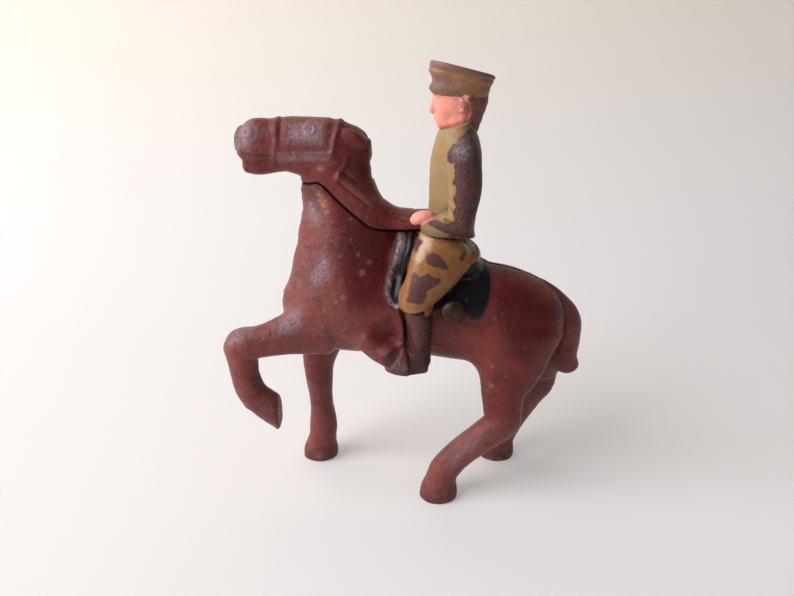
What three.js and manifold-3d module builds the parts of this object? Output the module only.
// A painted cast-iron toy: a uniformed rider on a stepping horse, about 84 mm high.
// Millimetres, +Z up. The horse looks along -X and its left side faces -Y.
// Two hollow half castings close on the horse's middle plane, and one rivet holds them together.
// The right casting also carries what is cast in the round: the horse's head and mane, its tail,
// and the rider above the waist.

import * as THREE from "three";
import { mergeVertices } from "three/addons/utils/BufferGeometryUtils.js";
import Module from "manifold-3d";

const wasm = await Module();
wasm.setup();

// Castings and fits
const WALL = 2.2;
const SEAM_GAP = 0.3;
const RIVET_GAP = 0.3;
const PIN_GAP = 0.3;
const OVERRUN = 8;

// Rivet, its bosses and the two locating pins
const RIVET_DIAMETER = 3.2;
const RIVET_HEAD_DIAMETER = 4.8;
const RIVET_HEAD_HEIGHT = 1.6;
const BOSS_DIAMETER = 6.8;
const PIN_DIAMETER = 2.6;
const PIN_REACH = 2.4;

// Barrel of the horse, from the breast to the buttocks; its axis lies at BARREL_HEIGHT
const BARREL_LENGTH = 54;
const BARREL_DEPTH = 19;
const BARREL_WIDTH = 15.6;
const BARREL_HEIGHT = 38.9;

// Neck, and the mane that runs down from it to the rider's hands
const NECK_RISE = 31.6;
const NECK_DEPTH = 21;
const NECK_WIDTH = 14;
const MANE_LENGTH = 15.5;
const MANE_DEPTH = 7.2;
const MANE_WIDTH = 8.4;

// Horse's head and ears
const HEAD_LENGTH = 24.2;
const HEAD_DEPTH = 10.4;
const HEAD_WIDTH = 8.4;
const EAR_LENGTH = 5.2;
const EAR_THICKNESS = 2.8;

// Lifted left foreleg
const FOREARM_REACH = 16;
const SHIN_DROP = 11;
const LIFTED_LEG_THICKNESS = 6;
const LIFTED_LEG_WIDTH = 5.6;
const LIFTED_LEG_SPREAD = 6.2;

// Standing right foreleg
const STANDING_LEG_LEAN = 2.6;
const STANDING_LEG_THICKNESS = 5.2;
const STANDING_LEG_WIDTH = 5.2;
const FORE_SPREAD = 7.4;

// Hind legs: the left one steps forward under the belly, the right one pushes off behind
const LEFT_HIND_STRIDE = 14.4;
const RIGHT_HIND_STRIDE = 6.5;
const HIND_LEG_THICKNESS = 6.8;
const HIND_LEG_WIDTH = 5.4;
const HIND_SPREAD = 7.5;

// Hooves and tail
const HOOF_LENGTH = 7;
const HOOF_WIDTH = 6;
const HOOF_HEIGHT = 4;
const TAIL_DROP = 16;
const TAIL_REACH = 6.6;
const TAIL_THICKNESS = 5;
const TAIL_OFFSET = 0.9;

// Saddle and its cloth
const SADDLE_HEIGHT = 10.8;
const SADDLE_LENGTH = 17.8;
const SADDLE_DEPTH = 10.4;
const SADDLE_WIDTH = 14;
const CLOTH_LENGTH = 19;
const CLOTH_DROP = 16.4;
const CLOTH_THICKNESS = 0.7;

// Rider: trunk and head
const TORSO_HEIGHT = 25;
const TORSO_DEPTH = 9.2;
const TORSO_WIDTH = 10.8;
const FACE_HEIGHT = 8.4;
const FACE_DEPTH = 9.8;
const FACE_WIDTH = 7.4;
const COLLAR_DIAMETER = 4.8;

// Rider: cap
const CAP_LENGTH = 11.4;
const CAP_WIDTH = 9.2;
const CAP_HEIGHT = 5;
const CAP_FALL = 2.6;
const VISOR_REACH = 0.4;
const VISOR_THICKNESS = 0.7;

// Rider: arms
const SHOULDER_SPREAD = 6.4;
const UPPER_ARM_LENGTH = 13;
const LOWER_ARM_LENGTH = 7.8;
const ARM_THICKNESS = 5.8;
const ARM_WIDTH = 5;

// Rider: legs
const KNEE_SPREAD = 8.2;
const THIGH_LENGTH = 10.6;
const THIGH_DEPTH = 9.8;
const THIGH_WIDTH = 6.4;
const BOOT_LENGTH = 10.4;
const BOOT_THICKNESS = 4.8;
const FOOT_LENGTH = 9;
const FOOT_THICKNESS = 4.8;

// Places along the barrel, from the breast at 0 to the buttocks at 1
const NECK_PLACE_SHARE = 0.252;
const FORE_PLACE_SHARE = 0.155;
const HIND_PLACE_SHARE = 0.835;
const SEAT_PLACE_SHARE = 0.596;
const SADDLE_PLACE_SHARE = 0.39;
const CLOTH_PLACE_SHARE = 0.378;
const CLOTH_RISE_SHARE = 0.89;
const RIVET_PLACE_SHARE = 0.607;
const RIVET_RISE_SHARE = 0.12;
const PIN_PLACE_SHARES = [0.2, 0.86];
const PIN_RISE_SHARES = [0.02, -0.16];

const barrelX = (share) => (share - 0.5) * BARREL_LENGTH;
const POLL = { x: barrelX(0.339), z: BARREL_HEIGHT + NECK_RISE };
const SEAT = { x: barrelX(SEAT_PLACE_SHARE), z: BARREL_HEIGHT + SADDLE_HEIGHT };
const SHOULDER_Z = SEAT.z + 0.83 * TORSO_HEIGHT;
const RIVET = { x: barrelX(RIVET_PLACE_SHARE), z: BARREL_HEIGHT + RIVET_RISE_SHARE * BARREL_DEPTH };
const RIVET_SEAT = BARREL_WIDTH / 2 + CLOTH_THICKNESS;
const CLOTH = { x: barrelX(CLOTH_PLACE_SHARE), z: BARREL_HEIGHT + CLOTH_RISE_SHARE * BARREL_DEPTH };
const HEAD_BASE = { x: SEAT.x + 0.14 * TORSO_DEPTH, z: SEAT.z + 0.98 * TORSO_HEIGHT };
const PINS = PIN_PLACE_SHARES.map((share, i) => ({
  x: barrelX(share),
  z: BARREL_HEIGHT + PIN_RISE_SHARES[i] * BARREL_DEPTH,
}));

// Sets out stations from shares [x, z, thick, wide, y], one line each: a place on the limb's spine,
// half its thickness in the side view, half its width, and how far it stands from the middle plane.
function stations(shares, { x, z, y = 0, length, height, thick, wide, spread = 0, grow = 0 }) {
  return shares.map(([dx, dz, t, w, dy = 0]) => ({
    x: x + dx * length,
    y: y + dy * spread,
    z: z + dz * height,
    thick: t * thick + grow,
    wide: w * wide + grow,
  }));
}

// A closed skin over stations: oval rings on a smooth line, with rounded or flat ends (roundness 0).
function skin(line, { sides = 12, rings = 7, start = 0.7, end = 0.7 } = {}) {
  const spine = new THREE.CatmullRomCurve3(line.map((s) => new THREE.Vector3(s.x, s.y, s.z)));
  const sizes = new THREE.CatmullRomCurve3(line.map((s) => new THREE.Vector3(s.thick, s.wide, 0)));
  const position = [];
  const addPoint = (t, roundness, around) => {
    const centre = spine.getPoint(t);
    const tangent = spine.getTangent(t);
    const size = sizes.getPoint(t);
    centre.addScaledVector(tangent, roundness * Math.min(size.x, size.y));
    const across = new THREE.Vector3(tangent.z, 0, -tangent.x).normalize();
    centre.addScaledVector(across, size.x * around.x);
    position.push(centre.x, centre.y + size.y * around.y, centre.z);
  };
  const addRing = (t, roundness, scale) => {
    for (let j = 0; j < sides; j++) {
      const angle = (j / sides) * 2 * Math.PI;
      addPoint(t, roundness, { x: scale * Math.cos(angle), y: scale * Math.sin(angle) });
    }
  };
  const capShares = [0.7];
  let count = rings;
  if (start > 0) {
    for (const k of [...capShares].reverse()) addRing(0, -start * k, Math.sqrt(1 - k * k));
    count += capShares.length;
  }
  for (let i = 0; i < rings; i++) addRing(i / (rings - 1), 0, 1);
  if (end > 0) {
    for (const k of capShares) addRing(1, end * k, Math.sqrt(1 - k * k));
    count += capShares.length;
  }
  const first = count * sides;
  addPoint(0, -start, { x: 0, y: 0 });
  addPoint(1, end, { x: 0, y: 0 });

  const index = [];
  for (let j = 0; j < sides; j++) {
    const k = (j + 1) % sides;
    const last = (count - 1) * sides;
    index.push(first, j, k, first + 1, last + k, last + j);
    for (let a = 0; a < last; a += sides) {
      index.push(a + j, a + sides + j, a + sides + k, a + j, a + sides + k, a + k);
    }
  }
  const geometry = new THREE.BufferGeometry();
  geometry.setAttribute("position", new THREE.Float32BufferAttribute(position, 3));
  geometry.setIndex(index);
  return solid(geometry);
}

// Makes a solid that can be joined and cut; a mesh whose faces point inwards is turned over.
function solid(geometry, matrix = new THREE.Matrix4()) {
  const bare = geometry.clone().applyMatrix4(matrix);
  bare.deleteAttribute("normal");
  bare.deleteAttribute("uv");
  const merged = mergeVertices(bare);
  const vertProperties = new Float32Array(merged.attributes.position.array);
  const triVerts = new Uint32Array(merged.index.array);
  const made = new wasm.Manifold(new wasm.Mesh({ numProp: 3, vertProperties, triVerts }));
  if (made.volume() > 0) return made;
  for (let i = 0; i < triVerts.length; i += 3) {
    [triVerts[i + 1], triVerts[i + 2]] = [triVerts[i + 2], triVerts[i + 1]];
  }
  return new wasm.Manifold(new wasm.Mesh({ numProp: 3, vertProperties, triVerts }));
}

const join = (solids) => solids.reduce((whole, next) => whole.add(next));

// A plate of an outline in the side view, between two levels of Y.
function plate(outline, low, high) {
  const shape = new THREE.Shape(outline.map(([x, z]) => new THREE.Vector2(x, z)));
  const geometry = new THREE.ExtrudeGeometry(shape, { depth: high - low, bevelEnabled: false });
  return solid(geometry, new THREE.Matrix4().makeRotationX(Math.PI / 2).setPosition(0, high, 0));
}

// A round bar across the horse, between two levels of Y.
function bar({ x, z }, diameter, low, high) {
  const geometry = new THREE.CylinderGeometry(diameter / 2, diameter / 2, high - low, 24);
  return solid(geometry, new THREE.Matrix4().setPosition(x, (low + high) / 2, z));
}

// Barrel: wide breast, level back, rounded buttocks
function barrel(grow, sides = 20) {
  const barrelShares = [
    [0.05, -0.11, 0.22, 0.26],
    [0.075, -0.08, 0.325, 0.35],
    [0.13, -0.05, 0.41, 0.43],
    [0.27, 0.01, 0.5, 0.475],
    [0.42, 0.02, 0.495, 0.487],
    [0.567, -0.005, 0.49, 0.5],
    [0.715, -0.047, 0.505, 0.5],
    [0.844, -0.125, 0.475, 0.5],
    [0.937, -0.22, 0.4, 0.44],
    [0.993, -0.3, 0.25, 0.28],
  ];
  const frame = { x: barrelX(0), z: BARREL_HEIGHT, length: BARREL_LENGTH, height: BARREL_DEPTH };
  const size = { thick: BARREL_DEPTH, wide: BARREL_WIDTH, grow };
  return skin(stations(barrelShares, { ...frame, ...size }), { sides, rings: 14 });
}

// Neck: from the middle of the breast up to the poll
const NECK_SHARES = [
  [-0.045, 0, 0.47, 0.5],
  [0.0, 0.21, 0.495, 0.49],
  [0.024, 0.367, 0.47, 0.44],
  [0.02, 0.525, 0.433, 0.37],
  [-0.02, 0.652, 0.376, 0.32],
  [-0.076, 0.778, 0.314, 0.286],
  [-0.048, 0.905, 0.257, 0.27],
  [0.0, 0.984, 0.2, 0.24],
];
function neck(shares, grow) {
  const frame = { x: barrelX(NECK_PLACE_SHARE), z: BARREL_HEIGHT, length: NECK_DEPTH, height: NECK_RISE };
  const size = { thick: NECK_DEPTH, wide: NECK_WIDTH, grow };
  return skin(stations(shares, { ...frame, ...size }), { sides: 16, rings: 10 });
}

// Mane and reins: one bar from the neck back to the rider's hands
function mane() {
  const maneShares = [
    [0.0, 0.0, 0.5, 0.5],
    [0.24, -0.22, 0.47, 0.5],
    [0.5, -0.4, 0.38, 0.48],
    [0.76, -0.45, 0.33, 0.46],
    [1.0, -0.44, 0.3, 0.46],
  ];
  const frame = { x: POLL.x - 0.21 * HEAD_LENGTH, z: POLL.z - 0.24 * NECK_RISE };
  const size = { length: MANE_LENGTH, height: MANE_LENGTH, thick: MANE_DEPTH, wide: MANE_WIDTH };
  return skin(stations(maneShares, { ...frame, ...size }));
}

// Horse's head: level, with a blunt muzzle and a full under lip
function horseHead() {
  const skullShares = [
    [-0.05, -0.15, 0.21, 0.31],
    [-0.12, -0.14, 0.365, 0.44],
    [-0.27, -0.115, 0.49, 0.494],
    [-0.43, -0.087, 0.495, 0.48],
    [-0.61, -0.04, 0.457, 0.44],
    [-0.75, -0.03, 0.418, 0.417],
    [-0.87, -0.02, 0.39, 0.393],
    [-0.945, -0.03, 0.28, 0.32],
  ];
  const lipShares = [
    [-0.74, -0.4, 0.13, 0.25],
    [-0.86, -0.41, 0.16, 0.27],
    [-0.925, -0.38, 0.17, 0.24],
  ];
  const frame = { ...POLL, length: HEAD_LENGTH, height: HEAD_DEPTH, thick: HEAD_DEPTH, wide: HEAD_WIDTH };
  return skin(stations(skullShares, frame), { sides: 14, rings: 10 }).add(
    skin(stations(lipShares, frame), { sides: 10, rings: 4 }),
  );
}

// An ear laid back along the poll
function ear(side) {
  const earShares = [
    [0.0, 0.0, 0.3, 0.3, 0.62],
    [0.35, 0.02, 0.5, 0.36, 0.68],
    [0.7, -0.12, 0.36, 0.3, 0.74],
    [1.0, -0.34, 0.12, 0.12, 0.78],
  ];
  const frame = { x: POLL.x - 0.25 * HEAD_LENGTH, z: POLL.z + 0.13 * HEAD_DEPTH };
  const size = { length: EAR_LENGTH, height: EAR_LENGTH, thick: EAR_THICKNESS, wide: EAR_THICKNESS };
  const spread = (side * HEAD_WIDTH) / 2;
  return skin(stations(earShares, { ...frame, ...size, spread }), { sides: 8, rings: 5 });
}

// A hoof from the pastern to its flat sole; sag lowers the middle of its line
function hoof(pastern, sole, sag = 0) {
  const line = [0, 0.5, 1].map((k) => ({
    x: pastern.x + k * (sole.x - pastern.x),
    y: pastern.y + k * (sole.y - pastern.y),
    z: pastern.z + k * (sole.z - pastern.z) + 4 * k * (1 - k) * sag,
    thick: (0.42 + 0.08 * k) * HOOF_LENGTH,
    wide: (0.44 + 0.06 * k) * HOOF_WIDTH,
  }));
  return skin(line, { rings: 3, start: 0.3, end: 0 });
}

// Lifted left foreleg: the forearm held out, the shin hanging, the hoof turned back
function liftedForeleg() {
  const forearmShares = [
    [0.0, 0.0, 0.9, 0.6, 0.65],
    [-0.34, -0.05, 0.73, 0.59, 0.8],
    [-0.64, -0.12, 0.55, 0.52, 0.94],
    [-0.89, -0.16, 0.517, 0.5, 1],
    [-0.975, -0.175, 0.483, 0.48, 1],
  ];
  const shinShares = [
    [0.0, 0.0, 0.483, 0.48, 1],
    [0.02, -0.29, 0.475, 0.46, 1],
    [0.045, -0.52, 0.465, 0.46, 1],
    [0.11, -0.79, 0.49, 0.48, 1],
    [0.2, -1.0, 0.48, 0.48, 1],
  ];
  const size = { thick: LIFTED_LEG_THICKNESS, wide: LIFTED_LEG_WIDTH, spread: -LIFTED_LEG_SPREAD };
  const root = { x: barrelX(FORE_PLACE_SHARE), z: BARREL_HEIGHT - 0.147 * BARREL_DEPTH };
  const knee = { x: root.x - 0.975 * FOREARM_REACH, z: root.z - 0.21 * FOREARM_REACH };
  const pastern = { x: knee.x + 0.17 * SHIN_DROP, y: -LIFTED_LEG_SPREAD, z: knee.z - 0.92 * SHIN_DROP };
  const sole = { x: pastern.x + 1.05 * HOOF_HEIGHT, y: pastern.y, z: pastern.z - 0.84 * HOOF_HEIGHT };
  return join([
    skin(stations(forearmShares, { ...root, ...size, length: FOREARM_REACH, height: FOREARM_REACH })),
    skin(stations(shinShares, { ...knee, ...size, length: SHIN_DROP, height: SHIN_DROP })),
    hoof(pastern, sole, -0.3 * HOOF_HEIGHT),
  ]);
}

// A standing leg: heights above the ground are shares of the barrel's height
function standingLeg(shares, { x, stride, thick, wide, spread }) {
  const frame = { x, z: 0, length: stride, height: BARREL_HEIGHT, thick, wide, spread };
  const line = stations(shares, frame);
  const fetlock = line[line.length - 1];
  const pastern = { x: fetlock.x, y: fetlock.y, z: HOOF_HEIGHT };
  const sole = { x: fetlock.x - 0.1 * HOOF_LENGTH, y: fetlock.y, z: -0.25 * HOOF_HEIGHT };
  return skin(line, { rings: 9 }).add(hoof(pastern, sole));
}

function standingForeleg() {
  const foreShares = [
    [0.0, 0.913, 1.08, 0.65, 0.6],
    [-0.42, 0.733, 0.81, 0.58, 0.78],
    [-0.73, 0.604, 0.635, 0.54, 0.92],
    [-0.73, 0.476, 0.54, 0.5, 0.98],
    [-0.65, 0.347, 0.48, 0.48, 1],
    [-0.62, 0.206, 0.577, 0.5, 1],
    [-0.77, 0.11, 0.558, 0.52, 1],
  ];
  const size = { thick: STANDING_LEG_THICKNESS, wide: STANDING_LEG_WIDTH, spread: FORE_SPREAD };
  return standingLeg(foreShares, { x: barrelX(FORE_PLACE_SHARE), stride: STANDING_LEG_LEAN, ...size });
}

function leftHindLeg() {
  const hindShares = [
    [0.0, 0.9, 1.265, 0.667, 0.625],
    [-0.05, 0.733, 1.015, 0.63, 0.75],
    [-0.13, 0.604, 0.647, 0.556, 0.86],
    [-0.114, 0.501, 0.574, 0.52, 0.944],
    [-0.157, 0.414, 0.58, 0.52, 0.986],
    [-0.43, 0.301, 0.505, 0.5, 1],
    [-0.735, 0.2, 0.475, 0.48, 1],
    [-0.92, 0.123, 0.45, 0.5, 1],
  ];
  const size = { thick: HIND_LEG_THICKNESS, wide: HIND_LEG_WIDTH, spread: -HIND_SPREAD };
  return standingLeg(hindShares, { x: barrelX(HIND_PLACE_SHARE), stride: LEFT_HIND_STRIDE, ...size });
}

function rightHindLeg() {
  const hindShares = [
    [0.15, 0.9, 1.2, 0.667, 0.625],
    [0.53, 0.733, 0.97, 0.63, 0.75],
    [0.87, 0.604, 0.676, 0.556, 0.86],
    [1.09, 0.488, 0.56, 0.52, 0.944],
    [0.84, 0.386, 0.485, 0.52, 0.986],
    [0.47, 0.257, 0.41, 0.5, 1],
    [0.17, 0.149, 0.4, 0.48, 1],
    [0.02, 0.1, 0.43, 0.5, 1],
  ];
  const size = { thick: HIND_LEG_THICKNESS, wide: HIND_LEG_WIDTH, spread: HIND_SPREAD };
  return standingLeg(hindShares, { x: barrelX(HIND_PLACE_SHARE), stride: RIGHT_HIND_STRIDE, ...size });
}

// Tail: arched off the croup, hanging clear of the haunches
function tail(grow) {
  const tailShares = [
    [0.0, 0.0, 0.5, 0.5, 0],
    [0.53, -0.125, 0.48, 0.5, 1],
    [0.9, -0.35, 0.5, 0.5, 1],
    [0.96, -0.6, 0.5, 0.48, 1],
    [0.94, -0.85, 0.46, 0.44, 1],
    [1.08, -1.0, 0.4, 0.4, 1],
  ];
  const root = { x: barrelX(0.93), z: BARREL_HEIGHT + 0.13 * BARREL_DEPTH };
  const size = { length: TAIL_REACH, height: TAIL_DROP, thick: TAIL_THICKNESS, wide: TAIL_THICKNESS };
  return skin(stations(tailShares, { ...root, ...size, spread: TAIL_OFFSET, grow }));
}

// Saddle: the seat that fills the horse's back under the rider
function saddle(grow) {
  const saddleShares = [
    [0.0, -0.03, 0.5, 0.41],
    [0.25, 0.0, 0.5, 0.47],
    [0.53, 0.0, 0.46, 0.5],
    [0.81, -0.1, 0.35, 0.48],
    [1.0, -0.23, 0.15, 0.36],
  ];
  const frame = { x: barrelX(SADDLE_PLACE_SHARE), z: SEAT.z, length: SADDLE_LENGTH, height: SADDLE_DEPTH };
  const size = { thick: SADDLE_DEPTH, wide: SADDLE_WIDTH, grow };
  return skin(stations(saddleShares, { ...frame, ...size }), { sides: 16 });
}

// Saddle cloth: a raised skin inside an outline, on the barrel and on the saddle
function saddleCloth() {
  const outlineShares = [
    [0.12, 0.0],
    [0.06, -0.23],
    [0.02, -0.46],
    [0.0, -0.69],
    [0.01, -0.79],
    [0.47, -0.79],
    [0.76, -0.97],
    [0.82, -1.0],
    [0.91, -0.93],
    [0.98, -0.75],
    [1.0, -0.57],
    [0.97, -0.37],
    [0.9, 0.0],
  ];
  const outline = outlineShares.map(([dx, dz]) => [CLOTH.x + dx * CLOTH_LENGTH, CLOTH.z + dz * CLOTH_DROP]);
  const cover = barrel(CLOTH_THICKNESS).add(saddle(CLOTH_THICKNESS));
  return cover.intersect(plate(outline, -BARREL_WIDTH, BARREL_WIDTH));
}

// Rider's trunk: the tunic's skirt, waist, chest and collar
function torso() {
  const torsoShares = [
    [0.0, 0.0, 0.587, 0.555],
    [0.02, 0.09, 0.554, 0.546],
    [0.04, 0.19, 0.49, 0.5],
    [0.08, 0.35, 0.478, 0.49],
    [0.11, 0.55, 0.5, 0.52],
    [0.13, 0.73, 0.49, 0.537],
    [0.13, 0.87, 0.4, 0.49],
    [0.12, 0.97, 0.27, 0.36],
  ];
  const size = { length: TORSO_DEPTH, height: TORSO_HEIGHT, thick: TORSO_DEPTH, wide: TORSO_WIDTH };
  const collarShares = [
    [0.0, -0.6, 0.5, 0.5],
    [-0.02, 0.0, 0.5, 0.5],
    [-0.04, 0.6, 0.5, 0.5],
  ];
  const throat = { x: SEAT.x + 0.12 * TORSO_DEPTH, z: SEAT.z + TORSO_HEIGHT };
  const round = { length: COLLAR_DIAMETER, height: COLLAR_DIAMETER };
  const thickness = { thick: COLLAR_DIAMETER, wide: COLLAR_DIAMETER };
  return skin(stations(torsoShares, { ...SEAT, ...size }), { sides: 14, rings: 9 }).add(
    skin(stations(collarShares, { ...throat, ...round, ...thickness }), { rings: 3 }),
  );
}

// Rider's head: a plain oval
function riderHead() {
  const headShares = [
    [-0.1, 0.0, 0.2, 0.24],
    [-0.06, 0.18, 0.37, 0.36],
    [-0.01, 0.45, 0.48, 0.47],
    [0.02, 0.7, 0.5, 0.5],
    [0.03, 0.9, 0.46, 0.47],
  ];
  const size = { length: FACE_DEPTH, height: FACE_HEIGHT, thick: FACE_DEPTH, wide: FACE_WIDTH };
  return skin(stations(headShares, { ...HEAD_BASE, ...size }), { sides: 14, rings: 7 });
}

// Cap: an upright band under a wide crown whose top falls to the back, and a short visor
function cap() {
  const profileShares = [
    [0, 0],
    [0.84, 0],
    [0.85, 0.34],
    [0.82, 0.44],
    [0.9, 0.66],
    [1, 0.9],
    [0.97, 1],
    [0, 0.97],
  ];
  const profile = profileShares.map(([r, h]) => new THREE.Vector2(r, h));
  const geometry = new THREE.LatheGeometry(profile, 20);
  const place = geometry.attributes.position;
  const base = { x: HEAD_BASE.x + 0.03 * FACE_DEPTH, z: HEAD_BASE.z + 0.62 * FACE_HEIGHT };
  for (let i = 0; i < place.count; i++) {
    const along = place.getX(i);
    const rise = place.getY(i);
    const lowered = (rise * (1 + along) * CAP_FALL) / 2;
    const z = base.z + rise * CAP_HEIGHT - lowered;
    place.setXYZ(i, base.x + (along * CAP_LENGTH) / 2, (-place.getZ(i) * CAP_WIDTH) / 2, z);
  }
  const visor = new THREE.CylinderGeometry(1, 1, 1, 16);
  const lying = new THREE.Matrix4().makeRotationX(Math.PI / 2);
  const reach = CAP_LENGTH / 4 + VISOR_REACH;
  const stretched = new THREE.Matrix4().makeScale(reach, CAP_WIDTH / 3, VISOR_THICKNESS);
  const placed = new THREE.Matrix4().setPosition(base.x - 0.2 * CAP_LENGTH, 0, base.z + VISOR_THICKNESS);
  return solid(geometry).add(solid(visor, placed.multiply(stretched).multiply(lying)));
}

// Arm: hanging from the shoulder, bent at the elbow, the hand on the reins
function arm(side) {
  const upperShares = [
    [0.0, 0.06, 0.42, 0.44, 0.9],
    [0.04, -0.2, 0.5, 0.5, 1],
    [0.06, -0.52, 0.5, 0.5, 1.06],
    [0.07, -0.82, 0.44, 0.47, 1.1],
    [0.09, -1.0, 0.38, 0.42, 1.1],
  ];
  const handShare = side < 0 ? 0.12 : -0.18;
  const lowerShares = [
    [0.0, 0.0, 0.38, 0.42, 1.1],
    [-0.34, 0.1 * handShare, 0.38, 0.41, 1.04],
    [-0.7, 0.5 * handShare, 0.34, 0.38, 0.94],
    [-1.0, handShare, 0.29, 0.36, 0.86],
  ];
  const size = { thick: ARM_THICKNESS, wide: ARM_WIDTH, spread: side * SHOULDER_SPREAD };
  const top = { x: SEAT.x + 0.16 * TORSO_DEPTH, z: SHOULDER_Z };
  const elbow = { x: top.x + 0.07 * UPPER_ARM_LENGTH, z: top.z - UPPER_ARM_LENGTH };
  const upperSize = { ...size, length: UPPER_ARM_LENGTH, height: UPPER_ARM_LENGTH };
  const lowerSize = { ...size, length: LOWER_ARM_LENGTH, height: LOWER_ARM_LENGTH };
  return skin(stations(upperShares, { ...top, ...upperSize }), { sides: 10, rings: 6 }).add(
    skin(stations(lowerShares, { ...elbow, ...lowerSize }), { sides: 10, rings: 5 }),
  );
}

// Leg: thigh down the saddle, upright boot, foot in the stirrup with the toe up
function riderLeg(side) {
  const thighShares = [
    [0.0, 0.26, 0.5, 0.5, 0.58],
    [-0.13, -0.06, 0.49, 0.5, 0.77],
    [-0.28, -0.3, 0.42, 0.47, 0.88],
    [-0.42, -0.51, 0.33, 0.42, 0.96],
    [-0.51, -0.72, 0.3, 0.38, 1],
  ];
  const bootShares = [
    [0.0, 0.08, 0.54, 0.5, 1.02],
    [0.04, -0.3, 0.5, 0.46, 1.05],
    [0.06, -0.62, 0.47, 0.44, 1.06],
    [0.07, -1.0, 0.46, 0.42, 1.08],
  ];
  const footShares = [
    [0.08, 0.0, 0.44, 0.42, 1.08],
    [-0.24, -0.01, 0.49, 0.44, 1.09],
    [-0.6, 0.07, 0.37, 0.42, 1.1],
    [-0.9, 0.2, 0.2, 0.3, 1.1],
  ];
  const spread = side * KNEE_SPREAD;
  const hip = { x: SEAT.x - 0.08 * TORSO_DEPTH, z: SEAT.z };
  const knee = { x: hip.x - 0.51 * THIGH_LENGTH, z: hip.z - 0.75 * THIGH_LENGTH };
  const ankle = { x: knee.x + 0.08 * BOOT_LENGTH, z: knee.z - BOOT_LENGTH };
  const thighSize = { length: THIGH_LENGTH, height: THIGH_LENGTH, thick: THIGH_DEPTH, wide: THIGH_WIDTH };
  const bootSize = { length: BOOT_LENGTH, height: BOOT_LENGTH, thick: BOOT_THICKNESS, wide: BOOT_THICKNESS };
  const footSize = { length: FOOT_LENGTH, height: FOOT_LENGTH, thick: FOOT_THICKNESS, wide: FOOT_THICKNESS };
  return join([
    skin(stations(thighShares, { ...hip, ...thighSize, spread }), { rings: 6 }),
    skin(stations(bootShares, { ...knee, ...bootSize, spread }), { sides: 10, rings: 4 }),
    skin(stations(footShares, { ...ankle, ...footSize, spread }), { sides: 10, rings: 5, start: 0.6 }),
  ]);
}

// Everything above the seam, which runs from the throat down the neck and along the waist
function aboveSeam(lift) {
  const seamShares = [
    [-0.21, 0.775],
    [-0.165, 0.785],
    [-0.115, 0.755],
    [-0.06, 0.7],
    [0.0, 0.645],
    [0.06, 0.595],
    [0.12, 0.54],
    [0.18, 0.5],
    [0.24, 0.48],
    [0.3, 0.475],
    [0.44, 0.475],
    [0.56, 0.465],
    [0.68, 0.445],
    [0.76, 0.42],
  ];
  const start = barrelX(NECK_PLACE_SHARE);
  const line = seamShares.map(([dx, dz]) => [start + dx * NECK_RISE, BARREL_HEIGHT + dz * NECK_RISE + lift]);
  const left = barrelX(0) - HEAD_LENGTH;
  const right = barrelX(1);
  const top = POLL.z + TORSO_HEIGHT;
  const outline = [[left, line[0][1]], ...line, [right, line[line.length - 1][1]], [right, top], [left, top]];
  return plate(outline, -BARREL_WIDTH, BARREL_WIDTH);
}

// Domed heads on both ends of one shank
function rivet() {
  const head = RIVET_HEAD_DIAMETER / 2;
  const seat = RIVET_SEAT + RIVET_GAP;
  const dome = [0, 1, 2, 3, 4].map((i) => {
    const angle = (i / 4) * (Math.PI / 2);
    return new THREE.Vector2(head * Math.sin(angle), seat + RIVET_HEAD_HEIGHT * Math.cos(angle));
  });
  dome[0].x = 0;
  const mirrored = dome.map((p) => new THREE.Vector2(p.x, -p.y));
  const shank = [-seat, seat].map((y) => new THREE.Vector2(RIVET_DIAMETER / 2, y));
  const geometry = new THREE.LatheGeometry([...mirrored, ...shank, ...dome.reverse()], 24);
  return solid(geometry, new THREE.Matrix4().setPosition(RIVET.x, 0, RIVET.z));
}

// The whole figure as one outer form, its soles cut flat at the ground
function figure() {
  const pad = bar(RIVET, RIVET_HEAD_DIAMETER + 2 * RIVET_GAP, -RIVET_SEAT, RIVET_SEAT);
  const horse = [barrel(0), neck(NECK_SHARES, 0), mane(), horseHead(), ear(-1), ear(1)];
  const legs = [liftedForeleg(), standingForeleg(), leftHindLeg(), rightHindLeg()];
  const rider = [torso(), riderHead(), cap(), arm(-1), arm(1), riderLeg(-1), riderLeg(1)];
  const whole = join([...horse, ...legs, saddle(0), saddleCloth(), ...rider, pad]);
  const length = 2 * BARREL_LENGTH;
  const below = [[-length, -OVERRUN], [length, -OVERRUN], [length, 0], [-length, 0]];
  return whole.subtract(plate(below, -BARREL_WIDTH, BARREL_WIDTH));
}

// Everything on one side of the middle plane, half a seam gap away from it
function halfSpace(side) {
  const length = 2 * BARREL_LENGTH;
  const top = POLL.z + TORSO_HEIGHT;
  const outline = [[-length, -OVERRUN], [length, -OVERRUN], [length, top], [-length, top]];
  const near = (side * SEAM_GAP) / 2;
  const away = side * 2 * BARREL_WIDTH;
  return plate(outline, Math.min(near, away), Math.max(near, away));
}

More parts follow.
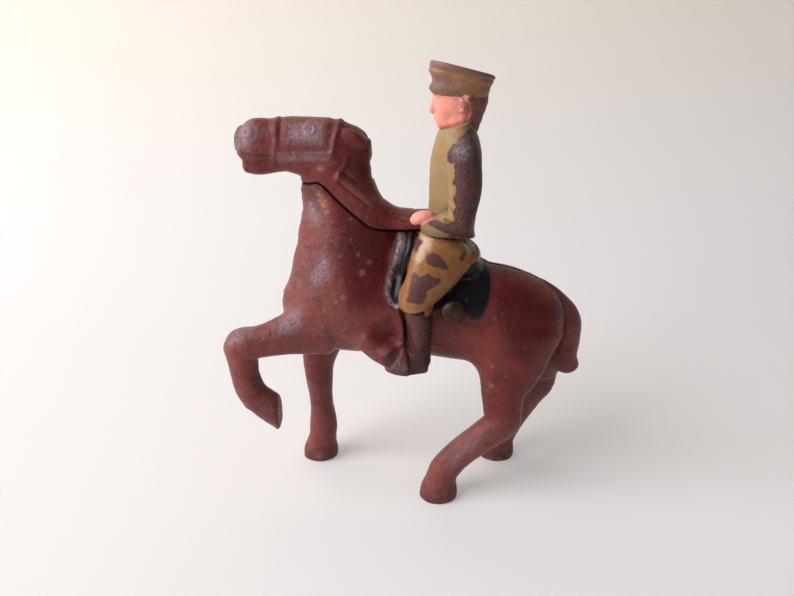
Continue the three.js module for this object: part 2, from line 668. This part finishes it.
// Bosses inside a half, from its wall to the middle plane
function bosses(side) {
  const near = (side * SEAM_GAP) / 2;
  const wall = side * (BARREL_WIDTH / 2 - WALL);
  const spots = [RIVET, ...PINS];
  return join(spots.map((spot) => bar(spot, BOSS_DIAMETER, Math.min(near, wall), Math.max(near, wall))));
}
const rivetHole = () => bar(RIVET, RIVET_DIAMETER + 2 * RIVET_GAP, -2 * BARREL_WIDTH, 2 * BARREL_WIDTH);
const hollow = () => barrel(-WALL, 16).add(neck(NECK_SHARES.slice(0, 3), -WALL));

function leftHalf(whole) {
  const shell = whole
    .intersect(halfSpace(-1))
    .subtract(aboveSeam(-SEAM_GAP * Math.SQRT2))
    .subtract(tail(SEAM_GAP))
    .subtract(hollow());
  const pins = PINS.map((spot) => bar(spot, PIN_DIAMETER, WALL - BARREL_WIDTH / 2, PIN_REACH));
  return join([shell, bosses(-1), ...pins]).subtract(rivetHole());
}

function rightHalf(whole) {
  const round = whole.intersect(aboveSeam(0)).add(tail(0));
  const shell = whole.intersect(halfSpace(1)).subtract(hollow());
  const sockets = PINS.map((spot) => bar(spot, PIN_DIAMETER + 2 * PIN_GAP, -OVERRUN, PIN_REACH + PIN_GAP));
  return join([shell, bosses(1)]).subtract(join(sockets)).add(round).subtract(rivetHole());
}

function meshOf(name, made, colour, roughness, metalness) {
  const mesh = made.getMesh();
  const position = new Float32Array(mesh.vertProperties.filter((_, i) => i % mesh.numProp < 3));
  const geometry = new THREE.BufferGeometry();
  geometry.setAttribute("position", new THREE.BufferAttribute(position, 3));
  geometry.setIndex(new THREE.BufferAttribute(mesh.triVerts, 1));
  geometry.computeVertexNormals();
  const material = new THREE.MeshStandardMaterial({ color: colour, roughness, metalness });
  const node = new THREE.Mesh(geometry, material);
  node.name = name;
  return node;
}

const whole = figure();
const group = new THREE.Group();
group.add(meshOf("left_half_casting", leftHalf(whole), "#5a2620", 0.45, 0.2));
group.add(meshOf("right_half_casting", rightHalf(whole), "#7a6236", 0.55, 0.2));
group.add(meshOf("rivet", rivet(), "#4a4543", 0.5, 0.8));

// The origin lies on the ground under the middle of the figure
const centre = new THREE.Box3().setFromObject(group).getCenter(new THREE.Vector3());
group.position.set(-centre.x, -centre.y, 0);
group.updateMatrixWorld(true);

export default group;
